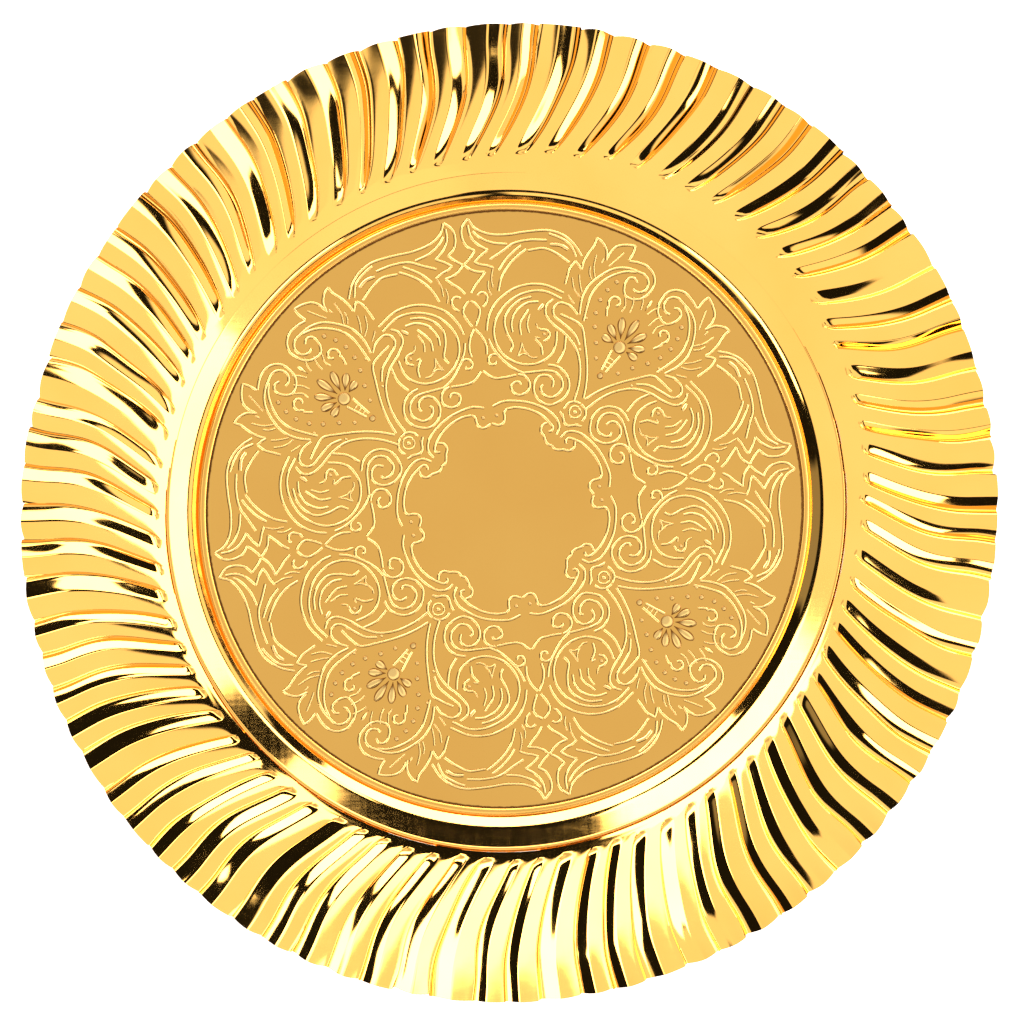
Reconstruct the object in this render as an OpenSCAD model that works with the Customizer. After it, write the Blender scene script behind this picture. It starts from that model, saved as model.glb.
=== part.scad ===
// Round brass tray: a pressed well pan, a separate fluted rim lapped over its lip and soldered,
// an embossed disc bedded in the well and a low rounded ring that closes the disc's edge.
// Millimetres, +Z up. The origin is the centre of the face that the tray stands on.

/* [Overall] */
// Diameter over the edge of the fluted rim
tray_d = 330; // [260:5:400]

/* [Well] */
// Diameter of the embossed disc
disc_d = 203; // [150:1:240]
// Thickness of the embossed disc
disc_t = 0.6; // [0.4:0.1:1]
// Width of the low rounded ring round the disc
bezel_w = 2; // [1.4:0.1:3]
// How far the ring stands over the disc
bezel_proud = 0.3; // [0.1:0.05:1]
// Thickness of the film that holds the disc
bond_t = 0.15; // [0.1:0.05:0.3]
// Bare margin between the film and the disc's edge
bond_margin = 1.5; // [1:0.5:4]
// Clearance round the disc and round the ring
fit_gap = 0.1; // [0.05:0.05:0.3]

/* [Pan] */
// Thickness of the pan's sheet
pan_t = 0.8; // [0.6:0.1:1.2]
// Inside bend radius at the foot of the wall
foot_r = 0.8; // [0.5:0.1:3]
// Slope of the wall
wall_angle = 42; // [35:1:75]
// Length of the wall between its bends
wall_l = 2.5; // [1:0.5:8]
// Inside bend radius at the top of the wall
crown_r = 8; // [1:0.5:10]
// Slope of the shoulder, and of the rim where it starts
shoulder_angle = 23; // [15:1:30]
// Length of the shoulder between the wall and the seam
shoulder_l = 6; // [3:0.5:12]
// Width of the lap between the pan's lip and the rim
lap_l = 2; // [1.5:0.5:8]
// Thickness of the solder in the lap
solder_t = 0.15; // [0.1:0.05:0.3]

/* [Rim] */
// Thickness of the rim's sheet
rim_t = 0.7; // [0.5:0.1:1.2]
// Slope of the rim at its outer edge
edge_angle = 15; // [0:1:20]
// Number of flutes
flutes = 83; // [40:1:100]
// Depth of a flute at its inner end
flute_d_in = 1.3; // [0.5:0.1:2]
// Depth of a flute at the outer edge
flute_d_out = 2.4; // [1:0.1:4]
// Length of a flute's rounded inner end
nose_l = 4; // [2:0.5:8]
// How far a flute swings round between the seam and the outer edge, in degrees
flute_sweep = 6.2; // [0:0.1:12]
// Unevenness of the flutes' spacing, as a share of the spacing
flute_play = 0.12; // [0:0.01:0.3]
// Unevenness of the outer edge
edge_play = 1.2; // [0:0.1:3]

/* [Hidden] */

gold = [0.93, 0.71, 0.30];
satin_gold = [0.86, 0.64, 0.29];
solder_grey = [0.66, 0.64, 0.60];
bond_amber = [0.55, 0.40, 0.20];

arc_steps = 8;          // straight steps in each bend of the pan
dome_steps = 12;        // straight steps over the ring's dome
round_fn = 180;         // facets of the round pieces in a quick view
joggle_angle = 60;      // how steeply the lip dips under the rim

// Radii of the fits, from the middle outwards
disc_r = disc_d / 2;
bezel_in = disc_r + fit_gap;
floor_r = bezel_in + bezel_w + fit_gap;

// Heights of what is stacked on the pan's floor
disc_z = pan_t + bond_t;
disc_top = disc_z + disc_t;

// The pan's middle surface as [radius, height, slope]: foot bend, wall, crown bend, shoulder,
// a joggle that drops the lip by the rim's and the solder's thickness, and the lip
foot_mid = foot_r + pan_t / 2;
crown_mid = crown_r + pan_t / 2;
joggle_drop = rim_t + solder_t;
joggle_mid = joggle_drop / (2 * (1 - cos(joggle_angle)));

function step_along(p, length) = [p[0] + length * cos(p[2]), p[1] + length * sin(p[2]), p[2]];
function bend(p, radius, turn) = [
    for (i = [1 : arc_steps])
        let (a = p[2] + turn * i / arc_steps, side = turn > 0 ? 1 : -1)
        [p[0] + side * radius * (sin(a) - sin(p[2])), p[1] - side * radius * (cos(a) - cos(p[2])), a]
];
function last(list) = list[len(list) - 1];

foot_start = [floor_r, pan_t / 2, 0];
foot_bend = bend(foot_start, foot_mid, wall_angle);
wall_top = step_along(last(foot_bend), wall_l);
crown_bend = bend(wall_top, crown_mid, shoulder_angle - wall_angle);
shoulder_end = step_along(last(crown_bend), shoulder_l);
joggle_down = bend(shoulder_end, joggle_mid, -joggle_angle);
joggle_up = bend(last(joggle_down), joggle_mid, joggle_angle);
lip_start = last(joggle_up);
lip_end = step_along(lip_start, lap_l);
pan_path = concat([foot_start], foot_bend, [wall_top], crown_bend, [shoulder_end],
    joggle_down, joggle_up, [lip_end]);

// A point of a [radius, height, slope] path, moved square to the path
function beside(p, distance) = [p[0] - distance * sin(p[2]), p[1] + distance * cos(p[2])];

// The rim's face: it carries on the line of the shoulder's face, straight over the lap and then
// flattening evenly to the outer edge
seam_point = beside(lip_start, pan_t / 2 + joggle_drop);
rim_in = seam_point[0];
lap_run = lap_l * cos(shoulder_angle);
rim_run = tray_d / 2 - rim_in;
free_run = rim_run - lap_run;
rim_drop = rim_t / cos(shoulder_angle);
function face_z(s) = seam_point[1] + tan(shoulder_angle) * s
    - (s > lap_run ? (tan(shoulder_angle) - tan(edge_angle)) * pow(s - lap_run, 2) / (2 * free_run) : 0);

// A flute is pressed down into the face. It starts clear of the pan's lip. Its depth, and its
// swing round the axis
flute_in = lip_end[0] + pan_t / 2 * sin(shoulder_angle) + fit_gap - rim_in;
function flute_depth(s) = (flute_d_in + (flute_d_out - flute_d_in) * s / rim_run)
    * sqrt(1 - pow(min(1, max(0, 1 - (s - flute_in) / nose_l)), 2));
straight_share = 0.8;   // beyond this share of the rim's width the flutes run straight outwards
function swing(s) = flute_sweep * pow(max(0, 1 - s / (straight_share * rim_run)), 2);

// Across one spacing: a steep side, the sloping side and the flat that is left of the face
valley_at = 0.10;       // share of the spacing where the flute is deepest
flat_at = 0.52;         // share where the flat starts
corners = [0, valley_at, flat_at];
depths = [0, 1, 0];     // at those corners, as shares of the flute's depth
spacing_play = rands(-flute_play, flute_play, flutes, 11);
edge_cut = rands(0, edge_play, flutes, 12);

// Rows of points from the seam to the outer edge, closer together in the rounded ends
nose_end = flute_in + nose_l;
rim_rows = concat([0, flute_in, flute_in + 0.35 * nose_l, nose_end],
    [for (i = [1 : 5]) nose_end + (rim_run - nose_end) * i / 5]);
function rim_point(s, k, c, drop) =
    let (at = (k + corners[c] + spacing_play[k]) * 360 / flutes + swing(s),
        r = rim_in + s - edge_cut[k] * pow(s / rim_run, 4))
    [r * cos(at), r * sin(at), face_z(s) - depths[c] * flute_depth(s) - drop];

// ---------------------------------------------------------------- pieces

// Pressed sheet: flat floor, wall, shoulder and the joggled lip under the rim
module well_pan() {
    upper = [for (p = pan_path) beside(p, pan_t / 2)];
    lower = [for (i = [len(pan_path) - 1 : -1 : 0]) beside(pan_path[i], -pan_t / 2)];
    color(gold)
        rotate_extrude($fn = round_fn)
            polygon(concat([[0, pan_t]], upper, lower, [[0, 0]]));
}

// Fluted sheet between the seam and the outer edge
module fluted_rim() {
    per_row = flutes * 3;
    rows = len(rim_rows);
    function sheet(drop) = [
        for (s = rim_rows) for (k = [0 : flutes - 1]) for (c = [0 : 2]) rim_point(s, k, c, drop)
    ];
    function next(j) = (j + 1) % per_row;
    under = rows * per_row;
    function face(base, i, j, up) =
        let (a = base + i * per_row + j, b = base + i * per_row + next(j),
            c = a + per_row, d = b + per_row)
        up ? [[a, b, d], [a, d, c]] : [[a, d, b], [a, c, d]];
    function band(i, j, out) =
        let (a = i * per_row + j, b = i * per_row + next(j), c = under + a, d = under + b)
        out ? [[a, b, d], [a, d, c]] : [[a, d, b], [a, c, d]];
    color(gold)
        polyhedron(
            points = concat(sheet(0), sheet(rim_drop)),
            faces = concat(
                [for (i = [0 : rows - 2]) for (j = [0 : per_row - 1]) for (f = face(0, i, j, true)) f],
                [for (i = [0 : rows - 2]) for (j = [0 : per_row - 1]) for (f = face(under, i, j, false)) f],
                [for (j = [0 : per_row - 1]) for (f = band(0, j, false)) f],
                [for (j = [0 : per_row - 1]) for (f = band(rows - 1, j, true)) f]
            ),
            convexity = 12
        );
}

// Separate satin sheet with the ornament
module embossed_disc() {
    color(satin_gold)
        translate([0, 0, disc_z])
            cylinder(r = disc_r, h = disc_t, $fn = round_fn);
}

// Half-round ring that closes the disc's edge
module disc_bezel() {
    half_w = bezel_w / 2;
    dome = [
        for (i = [0 : dome_steps])
            let (a = 180 * i / dome_steps)
            [bezel_in + half_w * (1 + cos(a)), disc_top + bezel_proud * sin(a)]
    ];
    color(gold)
        rotate_extrude($fn = round_fn)
            polygon(concat([[bezel_in, pan_t], [bezel_in + bezel_w, pan_t]], dome));
}

// Film between the pan's floor and the disc
module disc_bond() {
    color(bond_amber)
        translate([0, 0, pan_t])
            cylinder(r = disc_r - bond_margin, h = bond_t, $fn = round_fn);
}

// Ring of solder between the pan's lip and the rim
module seam_solder() {
    lip_face = beside(lip_start, pan_t / 2);
    lip_edge = beside(lip_end, pan_t / 2);
    film_in = beside(lip_start, pan_t / 2 + solder_t);
    film_out = beside(lip_end, pan_t / 2 + solder_t);
    color(solder_grey)
        rotate_extrude($fn = round_fn)
            polygon([lip_face, lip_edge, film_out, film_in]);
}

well_pan();
fluted_rim();
embossed_disc();
disc_bezel();
disc_bond();
seam_solder();
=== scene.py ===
"""Brass tray: smooth pieces, the disc's ornament and the finishes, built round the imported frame.

Lengths are in millimetres until a mesh is made. +Z is up and the origin is the centre of the
tray's flat underside.
"""

import math

import bpy
import numpy as np
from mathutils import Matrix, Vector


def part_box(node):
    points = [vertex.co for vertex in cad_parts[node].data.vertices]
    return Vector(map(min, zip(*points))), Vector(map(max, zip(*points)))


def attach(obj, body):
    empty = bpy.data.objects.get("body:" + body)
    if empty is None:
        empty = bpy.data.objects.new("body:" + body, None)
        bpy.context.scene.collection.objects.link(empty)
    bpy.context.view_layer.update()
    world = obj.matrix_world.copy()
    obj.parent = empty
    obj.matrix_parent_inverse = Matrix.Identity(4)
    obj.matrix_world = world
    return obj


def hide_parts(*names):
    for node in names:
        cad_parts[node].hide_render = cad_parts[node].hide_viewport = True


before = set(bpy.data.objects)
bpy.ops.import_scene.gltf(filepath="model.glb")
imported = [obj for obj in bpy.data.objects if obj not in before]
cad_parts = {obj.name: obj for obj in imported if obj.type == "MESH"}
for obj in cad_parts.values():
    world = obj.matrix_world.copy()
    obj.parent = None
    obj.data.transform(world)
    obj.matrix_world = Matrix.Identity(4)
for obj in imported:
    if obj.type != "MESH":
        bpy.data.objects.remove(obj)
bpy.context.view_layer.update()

MM = 0.001


def node_box(node):
    """Lowest and highest corner of a CAD node in millimetres."""
    low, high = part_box(node)
    return np.array(low) / MM, np.array(high) / MM


# Sizes taken from the frame
disc_low, disc_high = node_box("embossed_disc")
rim_low, rim_high = node_box("fluted_rim")
DISC_R = disc_high[0]
DISC_BOTTOM, DISC_TOP = disc_low[2], disc_high[2]
BEZEL_R, BEZEL_TOP = node_box("disc_bezel")[1][[0, 2]]
RIM_R = min(np.abs(rim_low[:2]).min(), np.abs(rim_high[:2]).min())

# The pan's path from the foot of the wall outwards, as the design has it: lengths, radii, and slopes
# in degrees. The joggle steps the lip down under the rim.
PAN_T = 0.8
FIT_GAP = 0.1
FOOT_R = 0.8
WALL_ANGLE = 42
WALL_L = 2.5
CROWN_R = 8
SHOULDER_ANGLE = 23
SHOULDER_L = 6
JOGGLE_ANGLE = 60
LAP_L = 2
RIM_T = 0.7
SOLDER_T = 0.15

# The rim: its slope past the knee and at the edge, where the knee starts and how soft it is, and the
# flutes' swing round in degrees, which ends at a share of the rim's width
FLUTES = 83
MID_ANGLE = 20
EDGE_ANGLE = 16.5
KNEE_AT, KNEE_L = 3.4, 1.0
FLUTE_SWEEP = 6.2
STRAIGHT_SHARE = 0.8
# How far the rim's inner edge runs in over the shoulder where no crease shows, and its thickness there
SEAM_LAP = 1.1
FEATHER_T = 0.02
# The flutes' depth at the seam and at the edge, their width at the inner ends as a share of the full
# one, and how far the flats are domed
FLUTE_D_IN = 1.35
FLUTE_D_OUT = 2.4
NOSE_WIDTH = 0.7
FLAT_DOME = 0.09

# The ornament is drawn for a disc of radius 100, in one eighth of it: x runs out along a fishtail,
# and y towards the cartouche beside it
UNIT = DISC_R / 100
ORNAMENT_TURN = 10
LINE_W, LINE_H = 1.2, 0.22
VEIN_W, VEIN_H = 0.9, 0.18
# How far below the disc's face a ridge's feet stand, and its closed underside
FOOT_DIP = 0.03
UNDERSIDE_DIP = 0.2


# ---------------------------------------------------------------- finishes

class Value:
    """A socket in a node tree. Sums on it are written as sums, and each operator adds a Math node."""

    def __init__(self, tree, socket):
        self.tree = tree
        self.socket = socket

    def math(self, operation, *values):
        """A Math node on the given values, whichever socket it is called on."""
        return self.tree.node("ShaderNodeMath", {"operation": operation}, dict(enumerate(values)))

    def __add__(self, other):
        return self.math("ADD", self, other)

    def __sub__(self, other):
        return self.math("SUBTRACT", self, other)

    def __rsub__(self, other):
        return self.math("SUBTRACT", other, self)

    def __mul__(self, other):
        return self.math("MULTIPLY", self, other)

    def __truediv__(self, other):
        return self.math("DIVIDE", self, other)

    def __abs__(self):
        return self.math("ABSOLUTE", self)

    __radd__ = __add__
    __rmul__ = __mul__

    def clamped(self):
        return self.math("MINIMUM", self.math("MAXIMUM", self, 0.0), 1.0)

    def eased(self):
        """0 to 1 with a soft start and end."""
        x = self.clamped()
        return x * x * (3.0 - 2.0 * x)


class Tree:
    """A node tree that nodes are added to with one method."""

    def __init__(self, tree):
        self.nodes = tree.nodes
        self.links = tree.links
        self.nodes.clear()

    def node(self, kind, settings=None, inputs=None, output=0):
        """A node of a kind: its settings first, then a number or a link for each socket."""
        made = self.nodes.new(kind)
        for name, setting in (settings or {}).items():
            setattr(made, name, setting)
        for name, value in (inputs or {}).items():
            if isinstance(value, Value):
                self.links.new(value.socket, made.inputs[name])
            else:
                made.inputs[name].default_value = value
        return Value(self, made.outputs[output]) if made.outputs else None

    def noise(self, place, scale, detail=2.0, roughness=0.5):
        """Cloudy noise, with about as many lumps to a metre as its scale."""
        return self.node("ShaderNodeTexNoise", None,
                         {"Vector": place, "Scale": scale, "Detail": detail, "Roughness": roughness})

    def mix(self, factor, low, high):
        """Between two colours."""
        return self.node("ShaderNodeMix", {"data_type": "RGBA"}, {0: factor, 6: low, 7: high}, 2)


def new_material(name):
    """An empty material and its tree."""
    material = bpy.data.materials.new(name)
    material.use_nodes = True
    return material, Tree(material.node_tree)


def object_place(tree):
    """Object coordinates in metres."""
    return tree.node("ShaderNodeTexCoord", output=3)


def stretched(tree, place, scale, turn=0.0):
    """Object coordinates turned about Z and stretched, for marks that run one way."""
    settings = {"vector_type": "POINT"}
    return tree.node("ShaderNodeMapping", settings,
                     {"Vector": place, "Rotation": (0.0, 0.0, turn), "Scale": scale})


def metal(tree, colour, roughness, normal):
    """A bare metal's shader, wired to the material's output."""
    shader = tree.node("ShaderNodeBsdfPrincipled", None,
                       {"Base Color": colour, "Metallic": 1.0, "Roughness": roughness,
                        "Normal": normal})
    tree.node("ShaderNodeOutputMaterial", None, {"Surface": shader})


GOLD_BRIGHT = (0.99, 0.57, 0.14, 1.0)
GOLD_DEEP = (0.97, 0.50, 0.10, 1.0)
SATIN_BRIGHT = (0.97, 0.55, 0.13, 1.0)
SATIN_DEEP = (0.93, 0.50, 0.11, 1.0)
# Painted highlight for the ridges' tops, then painted shade for their feet
PAINTED_RIDGE_TOP_LIGHT = (1.0, 0.66, 0.23, 1.0)
PAINTED_RIDGE_FOOT_SHADE = (0.20, 0.075, 0.014, 1.0)
# Painted shade for the crease round the disc's edge
PAINTED_SEAM_SHADE = (0.16, 0.06, 0.012, 1.0)


def polished_brass(name, rough_low, rough_high, ripple, grain):
    """Mirror-bright brass: wiping marks in the gloss, a faint ripple and a fine grain."""
    material, tree = new_material(name)
    place = object_place(tree)
    cloud = tree.noise(place, 28.0, 3.0)
    wipe = tree.noise(stretched(tree, place, (1.0, 9.0, 1.0), 0.6), 90.0, 4.0, 0.6)
    wipe_across = tree.noise(stretched(tree, place, (8.0, 1.0, 1.0), -0.4), 70.0, 4.0, 0.6)
    roughness = rough_low + (rough_high - rough_low) * (wipe * wipe_across * 2.4).clamped()
    colour = tree.mix(cloud.eased(), GOLD_DEEP, GOLD_BRIGHT)
    soft = tree.noise(place, 70.0, 2.0)
    fine = tree.noise(place, 2600.0, 2.0, 0.7)
    height = soft * ripple + fine * grain
    normal = tree.node("ShaderNodeBump", None, {"Strength": 1.0, "Distance": MM, "Height": height})
    metal(tree, colour, roughness, normal)
    return material


def satin_brass(name, rough_low, rough_high):
    """Satin brass: a brushed grain that runs one way, broad soft waves of the sheet, and a ragged
    dark ring of painted shade in the crease where the disc meets the ring round it."""
    material, tree = new_material(name)
    place = object_place(tree)
    cloud = tree.noise(place, 22.0, 3.0)
    colour = tree.mix(cloud.eased(), SATIN_DEEP, SATIN_BRIGHT)
    flat_place = tree.node("ShaderNodeVectorMath", {"operation": "MULTIPLY"},
                           {0: place, 1: (1.0, 1.0, 0.0)})
    radius = tree.node("ShaderNodeVectorMath", {"operation": "LENGTH"}, {0: flat_place}, 1)
    ragged = tree.noise(place, 900.0, 2.0, 0.6)
    # Painted shade: a ragged dark ring in the crease at the disc's edge, next to the ring round it
    shade_w, shade_soft = 0.85, 0.4
    corner = ((radius - (DISC_R - shade_w) * MM) / (shade_soft * MM) + ragged * 1.2 - 0.6).eased()
    colour = tree.mix(corner, colour, PAINTED_SEAM_SHADE)
    brush = tree.noise(stretched(tree, place, (1.0, 24.0, 1.0), 0.9), 240.0, 5.0, 0.7)
    roughness = rough_low + (rough_high - rough_low) * brush
    wave = tree.noise(place, 42.0, 2.0)
    fine = tree.noise(place, 3000.0, 2.0, 0.7)
    height = wave * 0.12 + brush * 0.002 + fine * 0.0015
    normal = tree.node("ShaderNodeBump", None, {"Strength": 1.0, "Distance": MM, "Height": height})
    metal(tree, colour, roughness, normal)
    return material


def relief_brass():
    """Polished ridges on the disc, painted dark at their feet as painted shade and painted lighter on
    their tops as a painted highlight.
    """
    material, tree = new_material("embossed line brass")
    place = object_place(tree)
    height = tree.node("ShaderNodeSeparateXYZ", None, {0: place}, 2)
    patch = tree.noise(place, 60.0, 3.0)
    # Painted shade and highlight by height: dark at the ridges' feet, light and glossier on their tops
    light_from, light_over = 0.04, 0.13
    ridge_light = ((height - (DISC_TOP + light_from) * MM) / (light_over * MM) + 0.2 * patch - 0.1).eased()
    colour = tree.mix(ridge_light, PAINTED_RIDGE_FOOT_SHADE, PAINTED_RIDGE_TOP_LIGHT)
    fine = tree.noise(place, 2600.0, 2.0, 0.7)
    normal = tree.node("ShaderNodeBump", None,
                       {"Strength": 1.0, "Distance": MM, "Height": fine * 0.0008})
    metal(tree, colour, 0.24 - 0.14 * ridge_light, normal)
    return material


def bonding_film():
    """Cured amber film with a mottled, half-gloss face."""
    material, tree = new_material("bonding film")
    place = object_place(tree)
    mottle = tree.noise(place, 160.0, 4.0)
    colour = tree.mix(mottle, (0.20, 0.11, 0.04, 1.0), (0.36, 0.22, 0.09, 1.0))
    shader = tree.node("ShaderNodeBsdfPrincipled", None,
                       {"Base Color": colour, "Roughness": 0.35 + 0.3 * mottle})
    tree.node("ShaderNodeOutputMaterial", None, {"Surface": shader})
    return material


def soft_solder():
    """Grey soft solder with a frosted, slightly lumpy face."""
    material, tree = new_material("soft solder")
    place = object_place(tree)
    lump = tree.noise(place, 420.0, 3.0)
    colour = tree.mix(lump, (0.42, 0.40, 0.37, 1.0), (0.62, 0.60, 0.56, 1.0))
    normal = tree.node("ShaderNodeBump", None,
                       {"Strength": 1.0, "Distance": MM, "Height": lump * 0.05})
    metal(tree, colour, 0.3 + 0.25 * lump, normal)
    return material


# Each one's smoothest and roughest gloss, and for the first three the ripple and grain in millimetres
PAN_BRASS = polished_brass("polished brass", 0.03, 0.10, 0.02, 0.0006)
RIM_BRASS = polished_brass("fluted brass", 0.02, 0.06, 0.012, 0.0008)
BEZEL_BRASS = polished_brass("bright brass", 0.08, 0.16, 0.01, 0.0008)
RELIEF_BRASS = relief_brass()
DISC_BRASS = satin_brass("satin brass", 0.02, 0.05)


# ---------------------------------------------------------------- meshes

def grid_faces(rows, columns, start=0, wrap=True, flip=False):
    """Quads between neighbouring rows and columns of a grid of points, numbered row by row."""
    row = np.arange(rows - 1)[:, None]
    column = np.arange(columns if wrap else columns - 1)[None, :]
    right = (column + 1) % columns
    corners = [row * columns + column, row * columns + right,
               (row + 1) * columns + right, (row + 1) * columns + column]
    faces = np.stack(corners, axis=-1).reshape(-1, 4) + start
    return faces[:, ::-1] if flip else faces


def fan_faces(pole, ring, flip=False):
    """Triangles from one point to each side of a closed ring of points."""
    faces = np.stack([np.full(len(ring), pole), ring, np.roll(ring, -1)], axis=-1)
    return faces[:, ::-1] if flip else faces


def new_piece(name, points, quads, triangles, material, slot, sharp=math.radians(50)):
    """A mesh object from an (n, 3) array in millimetres and arrays of corners; it rides on the tray."""
    mesh = bpy.data.meshes.new(name)
    mesh.vertices.add(len(points))
    mesh.vertices.foreach_set("co", (np.asarray(points) * MM).astype(np.float32).ravel())
    corners = np.concatenate([quads.ravel(), triangles.ravel()]).astype(np.int32)
    sizes = np.concatenate([np.full(len(quads), 4), np.full(len(triangles), 3)])
    starts = np.concatenate([[0], np.cumsum(sizes)[:-1]]).astype(np.int32)
    mesh.loops.add(len(corners))
    mesh.loops.foreach_set("vertex_index", corners)
    mesh.polygons.add(len(sizes))
    mesh.polygons.foreach_set("loop_start", starts)
    mesh.update(calc_edges=True)
    mesh.shade_smooth()
    mesh.set_sharp_from_angle(angle=sharp)
    mesh.materials.append(material)
    piece = bpy.data.objects.new(name, mesh)
    bpy.context.scene.collection.objects.link(piece)
    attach(piece, "root")
    return piece


NO_TRIANGLES = np.zeros((0, 3), int)


def revolve(profile, segments):
    """A closed surface from a (n, 2) profile of radius and height, listed from the top's middle
    outwards and back along the underside. Ends on the axis become poles, and a profile that stays
    off the axis is closed into a ring."""
    profile = np.asarray(profile, float)
    has_poles = profile[0, 0] == 0
    rings = profile[1:-1] if has_poles else np.vstack([profile, profile[:1]])
    angle = np.arange(segments) * 2 * math.pi / segments
    points = np.stack([rings[:, :1] * np.cos(angle), rings[:, :1] * np.sin(angle),
                       np.repeat(rings[:, 1:], segments, axis=1)], axis=-1).reshape(-1, 3)
    quads = grid_faces(len(rings), segments, flip=True)
    if not has_poles:
        count = (len(rings) - 1) * segments
        return points[:count], quads % count, NO_TRIANGLES
    top, under = len(points), len(points) + 1
    points = np.vstack([points, [0, 0, profile[0, 1]], [0, 0, profile[-1, 1]]])
    first_ring = np.arange(segments)
    last_ring = first_ring + (len(rings) - 1) * segments
    triangles = np.vstack([fan_faces(top, first_ring), fan_faces(under, last_ring, flip=True)])
    return points, quads, triangles


# ---------------------------------------------------------------- the pan

def walk(point, length):
    """Straight on along a path's slope. A path point is (radius, height, slope in radians)."""
    radius, height, slope = point
    return radius + length * math.cos(slope), height + length * math.sin(slope), slope


def bend(point, bend_radius, turn, steps=10):
    """An arc on from a path point that turns the slope by some degrees."""
    radius, height, slope = point
    side = math.copysign(1, turn)
    slopes = slope + math.radians(turn) * np.arange(1, steps + 1) / steps
    return [(radius + side * bend_radius * (math.sin(a) - math.sin(slope)),
             height - side * bend_radius * (math.cos(a) - math.cos(slope)), a) for a in slopes]


def offset(path, distance):
    """A path's radii and heights, moved square to it."""
    path = np.array(path)
    return np.stack([path[:, 0] - distance * np.sin(path[:, 2]),
                     path[:, 1] + distance * np.cos(path[:, 2])], axis=-1)


# The path runs midway through the sheet. The joggle drops it by the rim's sheet and the solder.
FLOOR_R = BEZEL_R + FIT_GAP
joggle_drop = RIM_T + SOLDER_T
joggle_r = joggle_drop / (2 * (1 - math.cos(math.radians(JOGGLE_ANGLE))))
foot_start = (FLOOR_R, PAN_T / 2, 0.0)
foot = bend(foot_start, FOOT_R + PAN_T / 2, WALL_ANGLE)
wall_top = walk(foot[-1], WALL_L)
crown = bend(wall_top, CROWN_R + PAN_T / 2, SHOULDER_ANGLE - WALL_ANGLE, 14)
shoulder_end = walk(crown[-1], SHOULDER_L)
joggle = bend(shoulder_end, joggle_r, -JOGGLE_ANGLE, 6)
joggle += bend(joggle[-1], joggle_r, JOGGLE_ANGLE, 6)
lip_end = walk(joggle[-1], LAP_L)
SEAM_IN, SEAM_Z = offset([joggle[-1]], PAN_T / 2 + joggle_drop)[0]


def spread(start, end, count):
    """Extra path points on a straight stretch, gathered at its ends, without the ends."""
    share = (1 - np.cos(np.linspace(0, math.pi, count + 2)[1:-1])) / 2
    return [walk(start, math.dist(start[:2], end[:2]) * s) for s in share]


def build_pan():
    """The pan's sheet: its path offset half a thickness each way and turned round the axis."""
    path = [foot_start, *foot, *spread(foot[-1], wall_top, 3), wall_top, *crown,
            *spread(crown[-1], shoulder_end, 5), shoulder_end, *joggle, lip_end]
    floor = np.array([40.0, 80.0, 100.0, FLOOR_R - 0.4])
    upper = np.vstack([[0, PAN_T], np.stack([floor, np.full(4, PAN_T)], -1), offset(path, PAN_T / 2)])
    lower = np.vstack([[0, 0], np.stack([floor, np.zeros(4)], -1), offset(path, -PAN_T / 2)])
    points, quads, triangles = revolve(np.vstack([upper, lower[::-1]]), 480)
    piece = new_piece("pan_sheet", points, quads, triangles, PAN_BRASS, "polished_brass")
    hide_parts("well_pan")


# ---------------------------------------------------------------- the rim

def rim_face(s):
    """Height of the rim's face at a distance s out from the seam: straight over the lap, then over
    a soft knee, and flattening evenly to the edge."""
    slope_in, slope_mid, slope_out = (math.tan(math.radians(angle))
                                      for angle in (SHOULDER_ANGLE, MID_ANGLE, EDGE_ANGLE))
    past = np.maximum(0, s - KNEE_AT)
    knee = (slope_in - slope_mid) * (past - KNEE_L * (1 - np.exp(-past / KNEE_L)))
    return (SEAM_Z + slope_in * s - knee
            - (slope_mid - slope_out) * past ** 2 / (2 * (RIM_RUN - KNEE_AT)))


RIM_RUN = RIM_R - SEAM_IN
# Where the points lie across a flute's steep side, sloping side and flat, as shares of each
STEEP = np.array([0, 0.18, 0.36, 0.64, 0.82])
SLOPING = np.array([0, 0.05, 0.12, 0.28, 0.46, 0.64, 0.82, 0.94])
FLAT = np.array([0, 0.06, 0.25, 0.5, 0.75, 0.94])


def sloping_side(b, hollow):
    """Share of the depth left at b along the sloping side: the integral of a slope that is soft at
    both ends and leans to one of them by the flute's hollow."""
    x = np.linspace(0, 1, 201)
    edge = np.minimum(1, np.minimum(x, 1 - x) / 0.12)
    slope = edge[None, :] * (1 + hollow[:, None] * (x[None, :] - 0.5))
    climb = np.cumsum(slope, axis=1)
    climb /= climb[:, -1:]
    return 1 - np.stack([np.interp(b, x, row) for row in climb])


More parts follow.
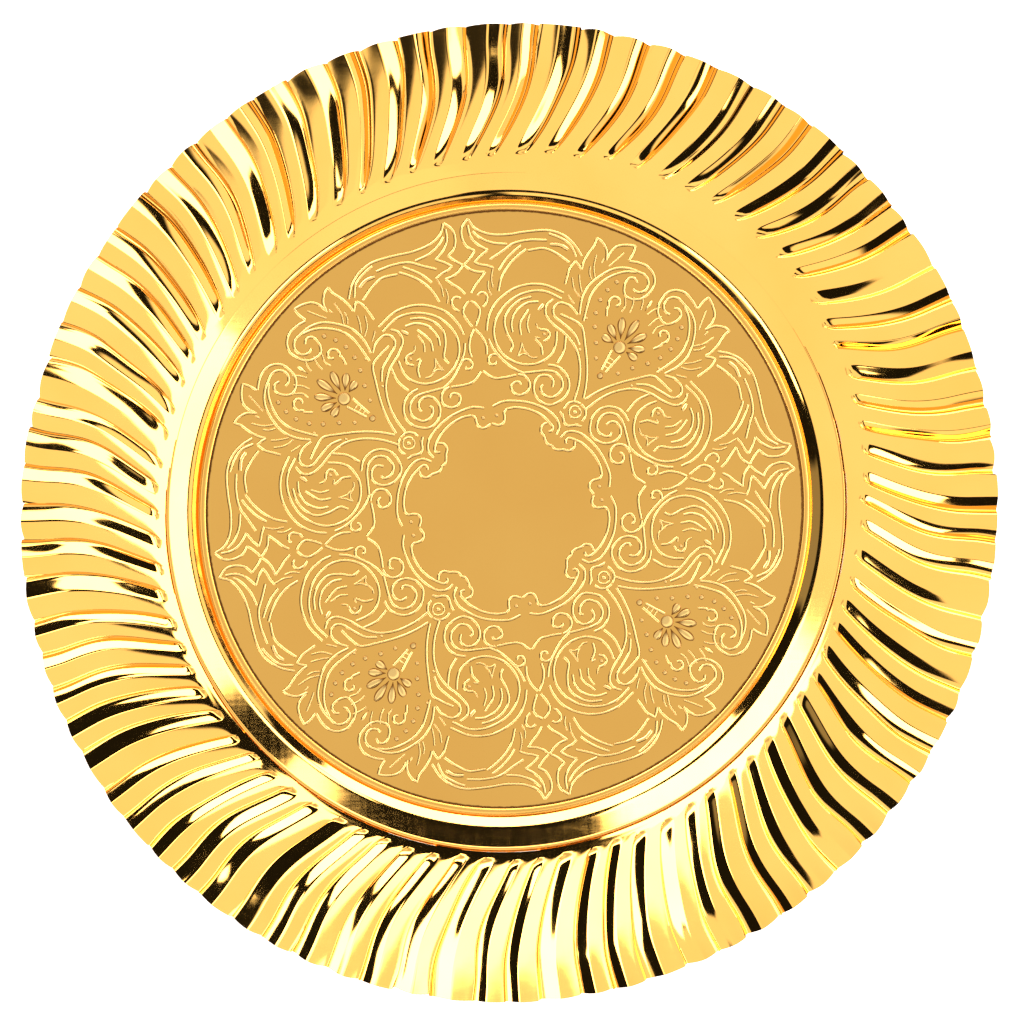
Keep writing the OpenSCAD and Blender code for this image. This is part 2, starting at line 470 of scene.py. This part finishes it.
def rim_grid(rows):
    """Points of the rim's face, row by row from the seam outwards. Across a flute they run down
    the steep side, up the sloping side and over the flat; the flutes differ a little in place,
    width, depth and hollow, and fade in at their rounded inner ends. Places round the rim, and
    widths across a flute, are in flutes."""
    rng = np.random.default_rng(11)
    k = np.arange(FLUTES)
    start = k + rng.uniform(-0.10, 0.10, FLUTES)
    steep_share = rng.uniform(0.05, 0.12, FLUTES)
    flat_at = rng.uniform(0.45, 0.58, FLUTES)
    deep = rng.uniform(0.75, 1.05, FLUTES)
    hollow = rng.uniform(-0.8, 0.8, FLUTES)
    wander = rng.uniform(-0.05, 0.05, (FLUTES, 2))
    flat_tilt = rng.uniform(-0.10, 0.10, FLUTES)
    ripple = rng.uniform(-0.05, 0.05, (FLUTES, 3))
    cut = rng.uniform(0.0, 1.3, FLUTES)
    turn = k * 2 * math.pi / FLUTES
    # Inner ends: furthest out from the seam on one side of the tray, and longest across the top
    nose_at = 2.6 + 6.5 * np.maximum(0, np.cos(turn - 0.7)) ** 3 + rng.uniform(-0.3, 0.9, FLUTES)
    nose_l = 3 + 9 * np.clip((np.sin(turn - 0.2) - 0.3) / 0.5, 0, 1)

    closed = np.clip((np.sin(turn) - 0.2) / 0.2, 0, 1)
    s = np.repeat(rows[:, None], FLUTES, axis=1)
    s[0] = 0.05 - SEAM_LAP * closed + rng.uniform(-0.15, 0.2, FLUTES) * (1 - closed)
    s[1] = s[0] + 0.8
    share = s / RIM_RUN
    begin = start + wander[:, 0] * np.sin(3.0 * share * math.pi) + wander[:, 1] * share
    pitch = np.roll(begin, -1, axis=1) - begin
    pitch[:, -1] += FLUTES
    fade = np.sqrt(1 - np.clip(1 - (s - nose_at) / nose_l, 0, 1) ** 2)
    narrow = NOSE_WIDTH + (1 - NOSE_WIDTH) * fade
    depth = deep * (FLUTE_D_IN + (FLUTE_D_OUT - FLUTE_D_IN) * share) * fade
    depth = depth + ripple[:, 0] * np.sin(share * 9 + ripple[:, 1] * 60) * fade * (1 - 0.3 * share)

    middle = (0.08 + flat_at) / 2
    low = middle - middle * narrow
    valley = low + steep_share * narrow
    high = middle + (flat_at - middle) * narrow

    steep_t = low[..., None] + (valley - low)[..., None] * STEEP
    slope_t = valley[..., None] + (high - valley)[..., None] * SLOPING
    flat_t = high[..., None] + (1 + np.roll(low, -1, axis=1) - high)[..., None] * FLAT
    steep_d = depth[..., None] * (STEEP ** 2 * (3 - 2 * STEEP))
    slope_d = depth[..., None] * sloping_side(SLOPING, hollow)[None]
    dome_d = FLAT_DOME * (1 - 4 * FLAT * (1 - FLAT)) + flat_tilt[:, None] * (FLAT - 0.5)
    flat_d = dome_d[None] * fade[..., None] * np.ones_like(flat_t)
    side_d = FLAT_DOME * fade[..., None]

    t = np.concatenate([steep_t, slope_t, flat_t], axis=2)
    d = np.concatenate([steep_d + side_d, slope_d + side_d, flat_d], axis=2)
    swing = math.radians(FLUTE_SWEEP) * np.maximum(0, 1 - share / STRAIGHT_SHARE) ** 2
    angle = (begin[..., None] + t * pitch[..., None]) * 2 * math.pi / FLUTES + swing[..., None]
    scallop = cut[None, :, None] * (2 * t - 1) ** 2 + 0.35 * np.roll(cut, 7)[None, :, None]
    radius = SEAM_IN + s[..., None] - scallop * share[..., None] ** 6
    z = rim_face(s)[..., None] - d
    z[0] -= FEATHER_T * 0.5
    z[1] += FEATHER_T * 0.3
    columns = FLUTES * t.shape[2]
    grid = np.stack([radius * np.cos(angle), radius * np.sin(angle), z], axis=-1)
    return grid.reshape(len(rows), columns, 3)


def build_rim():
    """The rim's sheet: the face, every third row of it a sheet's thickness lower, and the two edges.
    The rows are closer over the flutes' inner ends."""
    rows = np.concatenate([[0, 0.8], np.linspace(1.3, 9, 14), np.linspace(10.5, RIM_RUN - 0.4, 20),
                           [RIM_RUN]])
    rows_under = rows[::3] if len(rows) % 3 == 1 else np.append(rows[::3], rows[-1])
    top = rim_grid(rows)
    drop = RIM_T / math.cos(math.radians(SHOULDER_ANGLE))
    under = rim_grid(rows_under)
    thickness = np.full((len(rows_under), 1), drop)
    thickness[0] = FEATHER_T
    under[..., 2] -= thickness
    columns = top.shape[1]
    points = np.vstack([top.reshape(-1, 3), under.reshape(-1, 3)])
    base = top.shape[0] * columns
    quads = [grid_faces(len(rows), columns, flip=True),
             grid_faces(len(rows_under), columns, start=base)]
    j = np.arange(columns)
    right = (j + 1) % columns
    inner = np.stack([j, right, base + right, base + j], -1)
    last_top = base - columns
    last_under = base + (len(rows_under) - 1) * columns
    outer = np.stack([last_top + right, last_top + j, last_under + j, last_under + right], -1)
    quads = np.vstack([*quads, inner, outer])
    piece = new_piece("rim_sheet", points, quads, NO_TRIANGLES, RIM_BRASS, "fluted_brass")
    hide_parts("fluted_rim")


# ---------------------------------------------------------------- the disc and its ring

def build_bezel():
    """The low rounded ring: straight sides and half an ellipse over them."""
    inner, outer = DISC_R + FIT_GAP, BEZEL_R
    half = (outer - inner) / 2
    a = np.linspace(0, math.pi, 17)
    dome = np.stack([inner + half * (1 - np.cos(a)),
                     DISC_TOP + (BEZEL_TOP - DISC_TOP) * np.sin(a)], -1)
    profile = np.vstack([dome, [outer, PAN_T], [inner, PAN_T]])
    piece = new_piece("bezel_ring", *revolve(profile, 360), BEZEL_BRASS, "bright_brass")
    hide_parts("disc_bezel")


def build_disc():
    """The disc's sheet, with a narrow rounded edge."""
    edge = 0.18
    a = np.linspace(0, math.pi / 2, 5)
    radii = np.concatenate([[0.0], np.linspace(6, DISC_R - 1.0, 22)])
    top = np.stack([radii, np.full(len(radii), DISC_TOP)], -1)
    turned = np.stack([DISC_R - edge + edge * np.sin(a), DISC_TOP - edge + edge * np.cos(a)], -1)
    under = [[DISC_R, DISC_BOTTOM], [0.0, DISC_BOTTOM]]
    piece = new_piece("disc_sheet", *revolve(np.vstack([top, turned, under]), 240), DISC_BRASS,
                      "satin_brass")
    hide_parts("embossed_disc")


# ---------------------------------------------------------------- the ornament

def curl(x, y, r_start, r_end, a_start, a_end):
    """Points on a spiral round (x, y), from one radius and angle in degrees to another."""
    share = np.linspace(0, 1, max(3, round(abs(a_end - a_start) / 28) + 1))
    radius = r_start + (r_end - r_start) * share
    angle = np.radians(a_start + (a_end - a_start) * share)
    return np.stack([x + radius * np.cos(angle), y + radius * np.sin(angle)], -1)


def diagonal(points):
    """From places along and across the cartouche's own axis to the drawing's x and y."""
    along, across = np.asarray(points, float).T
    return np.stack([along - across, along + across], -1) / math.sqrt(2)


def curve_through(points, step):
    """An even row of points on the centripetal Catmull-Rom curve through the given ones."""
    p = np.asarray(points, float) * UNIT
    p = np.vstack([2 * p[0] - p[1], p, 2 * p[-1] - p[-2]])
    knots = np.concatenate([[0], np.cumsum(np.sqrt(np.linalg.norm(np.diff(p, axis=0), axis=1)))])
    t = [knots[i:len(knots) - 3 + i, None] for i in range(4)]
    p = [p[i:len(p) - 3 + i, None, :] for i in range(4)]
    u = t[1] + (t[2] - t[1]) * np.linspace(0, 1, 10, endpoint=False)

    def blend(a, b, i, j):
        share = ((u - t[i]) / (t[j] - t[i]))[..., None]
        return a + (b - a) * share

    first, second, third = blend(p[0], p[1], 0, 1), blend(p[1], p[2], 1, 2), blend(p[2], p[3], 2, 3)
    line = blend(blend(first, second, 0, 2), blend(second, third, 1, 3), 1, 2).reshape(-1, 2)
    line = np.vstack([line, p[2][-1]])
    run = np.concatenate([[0], np.cumsum(np.linalg.norm(np.diff(line, axis=0), axis=1))])
    even = np.linspace(0, run[-1], max(7, round(run[-1] / step) + 1))
    return np.stack([np.interp(even, run, line[:, 0]), np.interp(even, run, line[:, 1])], -1)


def copies(line, mirrored):
    """A line's four turns round the disc, and the same of its mirror image if asked for."""
    lines = np.stack([line, line * [1, -1]]) if mirrored else line[None]
    angles = np.radians(ORNAMENT_TURN + 90 * np.arange(4))
    turn = np.array([[np.cos(angles), -np.sin(angles)], [np.sin(angles), np.cos(angles)]])
    return np.einsum("ijk,mnj->kmni", turn, lines).reshape(-1, *line.shape)


# Across a ridge: shares of its half width, and of its height there
SECTION = np.array([-1, -0.64, -0.5, 0, 0.5, 0.64, 1])
SECTION_LIFT = np.array([0, 0.36, 0.82, 1, 0.82, 0.36, 0])


def ridge(points, width=LINE_W, height=LINE_H, mirrored=True, leaf=False, step=0.6):
    """Closed ridges on the disc along a line: a low flat-topped section whose feet stand a little
    inside the disc, with rounded ends. A leaf swells towards its far end."""
    line = curve_through(points, step)
    round_end = 0.7 * width
    count = len(line)
    share = np.linspace(0, 1, count + 2)[1:-1]
    length = np.linalg.norm(np.diff(line, axis=0), axis=1).sum()
    end = np.minimum(share, 1 - share) * length / round_end
    size = np.sqrt(1 - (1 - np.clip(end, 0, 1)) ** 2)
    if leaf:
        size = np.maximum(0.12, np.sin(math.pi * share ** 1.6) ** 0.8)
    paths = copies(line, mirrored)
    ahead = np.gradient(paths, axis=1)
    ahead /= np.linalg.norm(ahead, axis=-1, keepdims=True)
    side = np.stack([-ahead[..., 1], ahead[..., 0]], -1)
    across = np.append(SECTION, 0) * width / 2
    place = paths[:, :, None] + side[:, :, None] * (size[:, None] * across)[None, :, :, None]
    lift = np.append(SECTION_LIFT, 0)[None] * height * size[:, None]
    lift = lift - np.append(np.full(len(SECTION), FOOT_DIP), UNDERSIDE_DIP)
    z = np.broadcast_to(DISC_TOP + lift, place.shape[:3])
    rings = np.concatenate([place, z[..., None]], -1)
    ring = rings.shape[2]
    middle = rings[..., :1, :].copy()
    middle[..., 0, :2] = paths
    middle[..., 0, 2] = DISC_TOP - 2 * FOOT_DIP
    points = np.concatenate([rings.reshape(len(paths), -1, 3), middle[:, 0], middle[:, -1]], 1)
    quads = grid_faces(count, ring)
    first_ring = np.arange(ring)
    last_ring = first_ring + (count - 1) * ring
    triangles = np.vstack([fan_faces(count * ring, first_ring, flip=True),
                           fan_faces(count * ring + 1, last_ring)])
    return repeat(points, quads, triangles)


def bead(x, y, radius=1.0, height=0.2, mirrored=True):
    """Closed domes on the disc."""
    centre = np.array([[x, y], [x, y]], float) * UNIT
    centres = copies(centre, mirrored)[:, 0]
    a = np.linspace(0, math.pi / 2, 5)[1:]
    foot = DISC_TOP - FOOT_DIP
    profile = np.stack([radius * UNIT * np.sin(a), foot + height * np.cos(a) ** 1.5], -1)
    profile = np.vstack([[0, foot + height], profile, [0, DISC_TOP - UNDERSIDE_DIP]])
    points, quads, triangles = revolve(profile, 14)
    moved = points[None] + np.pad(centres, ((0, 0), (0, 1)))[:, None]
    return repeat(moved, quads, triangles)


def repeat(points, quads, triangles):
    """Join the copies of one shape; points are listed copy by copy."""
    number, each = points.shape[:2]
    shift = (np.arange(number) * each)[:, None, None]
    return (points.reshape(-1, 3), (quads[None] + shift).reshape(-1, 4),
            (triangles[None] + shift).reshape(-1, 3))


def join(parts):
    """One set of points and faces from several."""
    starts = np.cumsum([0] + [len(part[0]) for part in parts])
    return (np.vstack([part[0] for part in parts]),
            np.vstack([part[1] + start for part, start in zip(parts, starts)]),
            np.vstack([part[2] + start for part, start in zip(parts, starts)]))


def relief(name, lines=(), veins=(), extra=()):
    """One piece of the ornament: main lines, thinner veins, and shapes made already."""
    parts = [ridge(line) for line in lines]
    parts += [ridge(line, VEIN_W, VEIN_H) for line in veins]
    new_piece(name, *join(parts + list(extra)), RELIEF_BRASS, "satin_brass")


def build_ornament():
    """The disc's embossing, each group drawn once and repeated round the disc."""
    # The scalloped frame round the plain middle
    relief("medallion_frame", [
        [(33.5, 6), (33.4, 9), (31.8, 13.5), (29, 17.3), (26.2, 19.4),
         *curl(24.6, 18.9, 1.2, 1.2, 80, 204)],
        [(35.2, 1.5), (36.1, 5), (35.6, 9), (34, 14), (31, 18.7), (27.7, 21.6), (24.3, 22.2), (22, 20.8)],
        [(33.5, 6), (32.6, 4.9), (31, 4.8), (29.3, 4.2), (28.6, 2.6), (29.6, 0.2)],
        [(26.5, 18.6), (25.9, 16.7), (24, 15.9), (22.4, 16.6), (20.9, 16.8), (19.4, 17.4), (18.7, 18.7)],
    ], extra=[bead(32, 2.3, 0.7, 0.2)])
    # Ringed beads where the frame meets the cartouches
    relief("clasps", [
        [(24, 28.5), (24.1, 25.5), (25, 24.2), (27.5, 23.9), (29.5, 23.2)],
        curl(28.2, 28.2, 3.9, 3.3, -62, 42),
    ], extra=[ridge(curl(28.2, 28.2, 2, 2, 45, 405), 0.8, 0.2, mirrored=False),
              bead(28.2, 28.2, 0.8, 0.25, mirrored=False)])
    # The heart-shaped borders on the diagonals, with a row of beads inside them
    relief("cartouche_borders", [
        [(32.3, 31.8), (36.5, 33.4), (42, 34.7), (50, 35.4), (56, 35.3), (58.4, 33), (61.2, 29)],
        [(31.5, 28.3), (37, 31), (43, 32.5), (49, 32.2), (54, 29.8), (58.5, 26), (62.2, 24.2), (65, 25),
         (66.5, 27.5)],
        [(50, 33.5), (54, 32.5), (58, 29.4), *curl(62.2, 29.6, 2.9, 2.7, -120, 30), (62.8, 33.2),
         (60, 34.7)],
        [(57.5, 36.2), (61.5, 38), (66, 40.5), (69, 44), (70.8, 49), (71.1, 53), (70.3, 56.5)],
        [(60, 35.3), (64.5, 36.8), (68.7, 39.8), (71.4, 44.5), (72.8, 49.5), (72.1, 54),
         *curl(66.3, 56.5, 3.9, 2.4, 15, 240)],
        [(74.3, 54.8), *curl(66.3, 56.5, 7.1, 4.6, 10, 135), *curl(66.3, 56.5, 4.7, 5.8, 160, 240),
         (66.7, 51.8), (68.8, 53.6), (68.4, 55.6), (66.8, 56.2)],
    ], extra=[bead(58.4, 37.3, 0.6, 0.2), bead(48.4, 33.4, 0.6, 0.2),
              bead(49.7, 39.2, 0.9), bead(55, 39.7, 0.9), bead(59.5, 40.8, 0.9), bead(63.5, 43, 0.9),
              bead(66.3, 46, 0.9), bead(68.3, 49.5, 0.9), bead(38.6, 38.6, 1.2, mirrored=False),
              bead(44.6, 38.3, 0.8)])
    # A fan of petals round a boss, on a stem: each petal's lean from the cartouche's axis and its reach
    boss, boss_r, petal_w, petal_h = (66, 0), 2.3, 3.4, 0.24
    petals = []
    for lean, reach in ((0, 11), (30, 10), (60, 8.5), (90, 7)):
        tip = np.array([math.cos(math.radians(lean)), math.sin(math.radians(lean))])
        line = diagonal([boss + tip * r for r in np.linspace(2.6, reach, 4)])
        petals.append(ridge(line, petal_w, petal_h, mirrored=lean > 0, leaf=True))
    tips = [ridge(diagonal([(80.6, 0), (82.6, 0), (84.8, 0)]), 1.4, 0.3, False, leaf=True)]
    relief("palmettes", [
        diagonal([(56.5, 0.8), (60, 1.2), (63.8, 1.7)]),
        diagonal([(72, 9.6), (74.5, 11), *curl(77.4, 9.6, 2.6, 0.9, 150, -150).tolist()]),
    ], [
        diagonal([(77.4, 3.9), (79.8, 4.4), (82.4, 5.8)]),
        diagonal([(76, 6.4), (78.2, 6.4), (80.6, 8)]),
        diagonal([(80.2, 1.3), (82.6, 2.2), (84.6, 3.6)]),
    ], extra=[*petals, *tips, bead(*diagonal([boss])[0], boss_r, 0.3, mirrored=False),
              *[ridge(diagonal([(u, -1), (u, 1)]), 0.7, 0.18, mirrored=False)
                for u in (58, 59.6, 61.2)]])
    # Pointed leaves outside the borders
    relief("leaf_clusters", [
        [(74.7, 54.7), (76.8, 56.6), (78.9, 57.7)],
        [(78.9, 57.7), (79.8, 54.8), (79.9, 51.4), (78.6, 49.2), (76.6, 47.7)],
        [(76, 47.3), (79.3, 47.9), (82.5, 46.8), (83.9, 45.4)],
        [(83.9, 45.4), (82, 44.4), (79.1, 41.4), (76.2, 39.3), (74.6, 38.7)],
        [(74.5, 38.4), (76.3, 37.8), (77.7, 37)],
        [(77.7, 37), (75.7, 34.8), (73, 33.4), (70.7, 32.3)],
    ], [
        [(77.4, 53.5), (75.7, 50.8), (73.9, 47.7)],
        [(71, 42.5), (74.5, 42.7), (78.4, 44.3)],
        [(70.8, 41.2), (73, 41), (75, 41.6)],
        [(75.3, 45.4), (76, 46), (76.8, 46.6)],
        [(65.7, 36.4), (68.8, 35), (72.5, 35)],
        [(67, 37.3), (70, 37.2), (73, 37.5)],
        [(63.7, 34.2), (65, 33.5), (67, 32.7)],
    ])
    # Round scrolls between the cartouches and the fishtails, then the leaves that fill them
    relief("roundels", [
        [(68, 31.3), (71.8, 25.3), (72.9, 19), (71.8, 13.5), (68.5, 8), (63.8, 4.9), (60.3, 3.9)],
        [(66.2, 30.3), (69.7, 25), (70.4, 19), (68.3, 12.5), *curl(58.4, 17, 10.6, 12, -55, -190),
         (48.9, 24), (52, 25.9), (55.8, 26.8)],
        [(45.4, 25.2), (49, 28.1), (54, 29.6)],
        [(51.9, 10.4), (54, 11.6), (58.5, 10.4), (62.7, 10.3), (66, 12.6), (68.2, 16.4), (68.7, 20.5)],
        [(49, 20.8), (51.8, 20.9), (54.8, 19.3)],
        [(53.3, 22), (54.2, 23.8), (55.8, 24.4), (57, 23.2), (57.4, 21.5)],
    ], [
        [(48.5, 19), (48.6, 17.5), (49.6, 16)],
        [(54.6, 21), (54.9, 20.2), (55.2, 19.3)],
        [(49.8, 16.2), (51.8, 15), (54.3, 14.7)],
        [(54.3, 14.7), (52, 13.8), (49.9, 12.6)],
        [(49.9, 12.6), (50.5, 14.4), (49.8, 16.2)],
    ], extra=[bead(55.6, 22.6, 0.7, 0.2)])
    relief("roundel_leaves", extra=[
        ridge([(58.2, 12.3), (61.2, 12.4), (65, 14.7), (66.9, 19), (66.6, 22.5)], 1.1, 0.24),
        ridge([(56.8, 14.9), (60.5, 15.2), (64.8, 18.8)], 1.1, 0.22),
        ridge([(57, 17.7), (59.8, 17.5), (63, 18.9)], 1.0, 0.2),
        ridge([(57.2, 22.2), (58.1, 20.9), (59.7, 20.5)], 0.9, 0.18),
        ridge([(63.8, 22), (64.7, 23.1), (65.6, 24)], 1.8, 0.26),
    ])
    # Small curls and straps round the frame
    relief("scrolls", [
        [(44.2, 13.5), (43.9, 17.5), *curl(38.3, 21.5, 5.2, 3.7, 0, 150),
         *curl(38.3, 21.5, 3.8, 3.2, 175, 272), (39.1, 19.3)],
        [*curl(38.3, 21.5, 7.1, 6, 4, 160), *curl(38.3, 21.5, 6.3, 5.3, 190, 300),
         *curl(38.3, 21.5, 4.9, 1.4, 322, 420), (37.8, 22.2)],
        [*curl(40, 11.6, 4.1, 2.8, 0, 150), *curl(40, 11.6, 2.8, 3, 180, 285),
         *curl(40, 11.6, 2.4, 0.7, 312, 400)],
        [(44, 11), (43.9, 7), (44.4, 3.5), (47.3, 0.3)],
        [(43.9, 14), (46.2, 10.6), (50.5, 7), (54.5, 4.8), (57.5, 4)],
        [(52.5, 2.6), (55.2, 2.9), (58.7, 2), (61.5, 0.2)],
        curl(50, 4.4, 2.5, 0.8, 75, -260),
        [(62.5, 0.6), (65, 2), (67.5, 2.8), (69.5, 2), (71, 0.3)],
        [(68.3, 4), (69.2, 5.2), *curl(71.4, 4.2, 1.9, 1.6, 125, -55)],
    ])
    # Split tails at the disc's edge, then the straps that run on from them
    relief("fishtails", [
        [(73.5, 1), (75.5, 2.5), (77.3, 4.5), (79.5, 6.7)],
        [(79.5, 6.7), (80.1, 4), (81.2, 2), (83, 0.2)],
        [(80.3, 9.8), (81.5, 7.7), (82.3, 5.4), (83.3, 3.8)],
        [(83.3, 3.8), (84.8, 5.7), (86.5, 8.8)],
        [(86.5, 8.8), (89, 5.8), (92, 4), (95.8, 3.7)],
        [(83.2, 0.3), (84.8, 2.4), (87, 4.5)],
        [(87, 4.5), (89, 2.1), (92.5, 1.1), (95.5, 1.7), (97.9, 4.1)],
        [(97.8, 4.2), (94.5, 5.8), (91.8, 9.8), (90.4, 16), (90.2, 22), (89.2, 30), (86.8, 34.5),
         (83, 37.7), (78.9, 39.4)],
        [(93.5, 4.9), (91, 7), (88.6, 10.8), (87.3, 15.5)],
    ])
    relief("strap_arcs", [
        [(86.2, 28.8), (87.3, 23), (87.1, 17.5), (85.3, 13.6), (83.3, 9)],
        [(77.6, 34.9), (81.1, 31.4), (83.6, 27.6), (84, 22)],
        [(79, 37.5), (83.4, 36.2), (86.4, 32.9), (88.2, 29.8)],
        [(72.5, 10), (76.8, 11.8), (80.5, 15), (83.1, 18.7), (84.5, 21.5)],
        [(79.3, 11.3), (82.2, 14), (84.8, 17.7), (86, 20)],
    ], [
        [(71.5, 7.5), (74, 6.8), (76.4, 7.2)],
        [(74, 8.4), (77, 8.4), (80, 9.4)],
    ], extra=[ridge([(81.9, 35.2), (83.8, 33), (84.7, 29.6)], 1.7, 0.26)])


# ---------------------------------------------------------------- the stage

def build_floor():
    """A pale floor, well past the tray on every side."""
    half = 1.6
    mesh = bpy.data.meshes.new("floor")
    mesh.from_pydata([(-half, -half, 0), (half, -half, 0), (half, half, 0), (-half, half, 0)], [],
                     [(0, 1, 2, 3)])
    floor = bpy.data.objects.new("floor", mesh)
    bpy.context.scene.collection.objects.link(floor)
    material, tree = new_material("pale floor")
    paper = tree.noise(object_place(tree), 60.0, 3.0)
    colour = tree.mix(paper, (0.80, 0.80, 0.80, 1.0), (0.84, 0.84, 0.84, 1.0))
    shader = tree.node("ShaderNodeBsdfPrincipled", None,
                       {"Base Color": colour, "Roughness": 0.9,
                        "Emission Color": (1.0, 1.0, 1.0, 1.0), "Emission Strength": 0.62})
    tree.node("ShaderNodeOutputMaterial", None, {"Surface": shader})
    mesh.materials.append(material)


def direction(azimuth, zenith):
    """Unit vector from degrees round from +X and degrees down from straight up."""
    a, b = math.radians(azimuth), math.radians(zenith)
    return np.array([math.sin(b) * math.cos(a), math.sin(b) * math.sin(a), math.cos(b)])


# The canopy's level at the zenith, what it gains further down, and the degrees where that starts and
# over which it comes; then the room's level below the canopy, the same for its edge, and the
# azimuth and zenith that the edge goes round
ZENITH_LEVEL, CANOPY_GAIN, CANOPY_FROM, CANOPY_SOFT = 0.8, 0.5, 15.0, 7.0
ROOM_LEVEL, ROOM_FROM, ROOM_SOFT = 0.012, 42.0, 1.5
CANOPY_AXIS = (275, 9)
LAMP_WHITE = (1.0, 0.99, 0.97, 1.0)

# Panels of the studio: azimuth, zenith, half width, half height and softness in degrees, level
PANELS = [
    (252, 69, 24, 8, 3, 1.4),
    (316, 50, 24, 4.5, 1.5, 1.4),
    (312, 75, 30, 7, 3, 1.2),
    (0, 73, 30, 9, 3, 1.4),
    (354, 50, 22, 7, 1.5, 6.0),
    (36, 55, 14, 6, 1.5, 6.0),
    (90, 28, 34, 4, 1.5, 5.0),
    (133, 38, 20, 7.5, 1.5, 7.0),
    (90, 70, 44, 16, 1.5, 7.0),
    (228, 62, 16, 6, 1.5, 7.0),
    (318, 66, 12, 4, 1.5, 6.0),
    (180, 68, 14, 10, 3, 0.35),
    (298, 35, 9, 4, 1.5, 0.03),
]


def build_studio():
    """Soft light from all round: a slightly dimmer zenith, a pale canopy round it, a dark room lower
    down, and soft-edged panels that the metal mirrors. A panel is the rectangle that a ray meets on a
    plane square to the panel's own direction, one unit away."""
    world = bpy.data.worlds.new("studio")
    bpy.context.scene.world = world
    world.use_nodes = True
    tree = Tree(world.node_tree)
    ray = tree.node("ShaderNodeTexCoord")

    def along(axis):
        return tree.node("ShaderNodeVectorMath", {"operation": "DOT_PRODUCT"},
                         {0: ray, 1: tuple(axis)}, 1)

    def degrees_from(axis):
        near = along(axis)
        return near.math("ARCCOSINE", near) * (180 / math.pi)

    down = (degrees_from((0, 0, 1)) - CANOPY_FROM) / CANOPY_SOFT
    level = ZENITH_LEVEL + CANOPY_GAIN * down.eased()
    past_canopy = (degrees_from(direction(*CANOPY_AXIS)) - ROOM_FROM) / ROOM_SOFT
    level = level + (ROOM_LEVEL - level) * past_canopy.eased()
    for azimuth, tilt, half_w, half_h, soft, target in PANELS:
        facing = direction(azimuth, tilt)
        across = direction(azimuth + 90, 90)
        upward = np.cross(facing, across)
        ahead = along(facing)
        depth = ahead.math("MAXIMUM", ahead, 0.001)
        x = abs(along(across) / depth)
        y = abs(along(upward) / depth)
        edge = math.tan(math.radians(soft))
        inside = (((math.tan(math.radians(half_w)) - x) / edge + 0.5).eased()
                  * ((math.tan(math.radians(half_h)) - y) / edge + 0.5).eased())
        level = level + (target - level) * inside
    background = tree.node("ShaderNodeBackground", None, {"Color": LAMP_WHITE, "Strength": level})
    tree.node("ShaderNodeOutputWorld", None, {"Surface": background})


def build_camera():
    """A long lens from nearly overhead, leaning to one side. Distances are in metres: from the aim to
    the camera, and across the square picture at the aim."""
    distance, picture_w, sensor = 1.778, 0.34583, 36.0
    lean, lean_azimuth = 9.1, 140.4
    aim = np.array([0.0020, -0.0006, 0.0])
    camera = bpy.data.cameras.new("camera")
    camera.sensor_width = sensor
    camera.lens = sensor * distance / picture_w
    holder = bpy.data.objects.new("camera", camera)
    bpy.context.scene.collection.objects.link(holder)
    outward = direction(lean_azimuth, lean)
    up = np.array([0.0, 1.0, 0.0])
    up = up - outward * (up @ outward)
    up /= np.linalg.norm(up)
    right = np.cross(up, outward)
    matrix = np.eye(4)
    matrix[:3, 0], matrix[:3, 1], matrix[:3, 2] = right, up, outward
    matrix[:3, 3] = aim + outward * distance
    holder.matrix_world = matrix.T.tolist()
    camera.clip_end = 10
    bpy.context.scene.camera = holder


build_camera()
build_studio()
build_floor()
build_pan()
build_rim()
build_bezel()
build_disc()
build_ornament()
for node, material in (("disc_bond", bonding_film()), ("seam_solder", soft_solder())):
    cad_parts[node].data.materials.clear()
    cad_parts[node].data.materials.append(material)
bpy.context.scene.view_settings.view_transform = "Standard"
